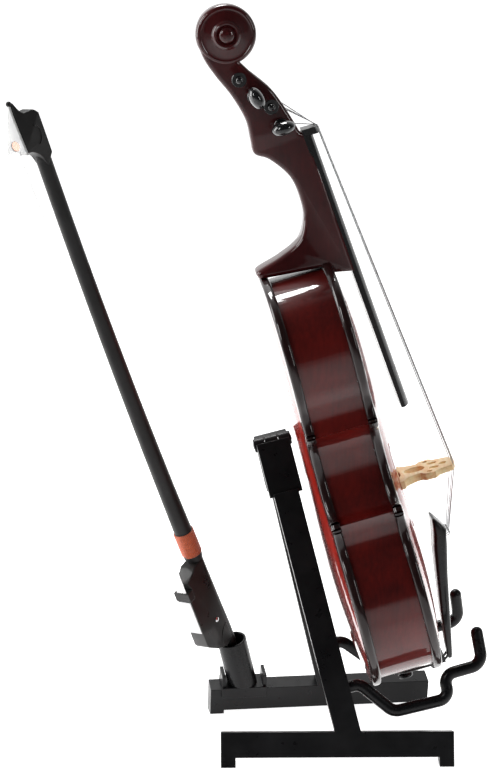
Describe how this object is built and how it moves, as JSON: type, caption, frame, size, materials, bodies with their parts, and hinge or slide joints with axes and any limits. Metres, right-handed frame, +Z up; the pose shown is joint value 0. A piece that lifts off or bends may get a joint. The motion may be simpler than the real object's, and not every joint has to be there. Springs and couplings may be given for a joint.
{
  "type": "miniature cello on stand",
  "caption": "Miniature display cello with strings, tuning pegs and bridge, resting on a folding two-legged black stand that also holds its bow upright in a tube.",
  "frame": {"origin": "on the floor under the middle of the whole set's box", "axes": "+X is the way the cello's belly faces, +Y is its treble side (the side of the bow), +Z is up"},
  "size_m": [0.1656, 0.0948, 0.2613],
  "materials": {
    "plate_varnish": "high-gloss red-brown lacquer over wood",
    "rib_varnish": "high-gloss dark mahogany lacquer over wood",
    "neck_varnish": "gloss dark red-brown lacquer over wood",
    "inner_wood": "bare sanded wood",
    "black_fittings": "black, satin gloss",
    "bridge_maple": "bare pale maple",
    "string_steel": "fine wound wire",
    "tail_cord": "black cord",
    "stand_plastic": "black moulded plastic, satin",
    "pin_steel": "plain steel pin",
    "bow_wood": "near-black lacquered wood",
    "frog_black": "black, satin",
    "pearl": "white pearl",
    "tip_white": "white plate",
    "winding_copper": "orange copper thread",
    "hair_white": "white hair",
    "plug_brass": "pinkish brass",
    "eye_silver": "polished dot"
  },
  "bodies": {
    "bass_side": {"bass_side_frame": "stand_plastic", "bass_cradle_arm": "stand_plastic", "hinge_pin": "pin_steel"},
    "treble_side": {"treble_side_frame": "stand_plastic", "treble_cradle_arm": "stand_plastic", "bow_tube": "stand_plastic", "tube_saddle": "stand_plastic"},
    "cello": {"back_plate": "plate_varnish", "top_plate": "plate_varnish", "lower_rib": "rib_varnish", "bass_waist_rib": "rib_varnish", "bass_upper_rib": "rib_varnish", "treble_waist_rib": "rib_varnish", "treble_upper_rib": "rib_varnish", "bottom_block": "inner_wood", "top_block": "inner_wood", "corner_blocks": "inner_wood", "neck_and_scroll": "neck_varnish", "fingerboard": "black_fittings", "nut": "black_fittings", "bridge": "bridge_maple", "saddle": "black_fittings", "end_button": "black_fittings", "tailgut": "tail_cord", "tailpiece": "black_fittings", "c_string": "string_steel", "g_string": "string_steel", "d_string": "string_steel", "a_string": "string_steel"},
    "bow": {"bow_stick": "bow_wood", "bow_tip_plate": "tip_white", "bow_hair": "hair_white", "bow_winding": "winding_copper", "hair_plug": "plug_brass", "bow_frog": "frog_black", "frog_slide": "pearl", "frog_ferrule": "frog_black", "frog_eyes": "eye_silver"},
    "c_peg": {"c_peg": "black_fittings"},
    "g_peg": {"g_peg": "black_fittings"},
    "d_peg": {"d_peg": "black_fittings"},
    "a_peg": {"a_peg": "black_fittings"}
  },
  "joints": [
    {"name": "stand_fold", "type": "hinge", "parent": "bass_side", "child": "treble_side", "pos_m": [0.00982, 0.00233, 0.10798], "axis": [-0.9713, 0, -0.2377], "range_deg": [0, 28.5]},
    {"name": "cello_lift", "type": "slide", "parent": "bass_side", "child": "cello", "axis": [0, 0, 1], "range_m": [0, 0.025]},
    {"name": "bow_lift", "type": "slide", "parent": "treble_side", "child": "bow", "axis": [-0.3192, -0.2929, 0.9013], "range_m": [0, 0.03]},
    {"name": "c_peg_turn", "type": "hinge", "parent": "cello", "child": "c_peg", "pos_m": [-0.00216, 0.00233, 0.23557], "axis": [0, 1, 0], "continuous": true},
    {"name": "g_peg_turn", "type": "hinge", "parent": "cello", "child": "g_peg", "pos_m": [0.00319, 0.00233, 0.22998], "axis": [0, 1, 0], "continuous": true},
    {"name": "d_peg_turn", "type": "hinge", "parent": "cello", "child": "d_peg", "pos_m": [0.0124, 0.00233, 0.21973], "axis": [0, 1, 0], "continuous": true},
    {"name": "a_peg_turn", "type": "hinge", "parent": "cello", "child": "a_peg", "pos_m": [0.00887, 0.00233, 0.22624], "axis": [0, 1, 0], "continuous": true}
  ],
  "couplings": [
    {"joint": "cello_lift", "follows": "stand_fold", "m_per_rad": 0.05}
  ]
}
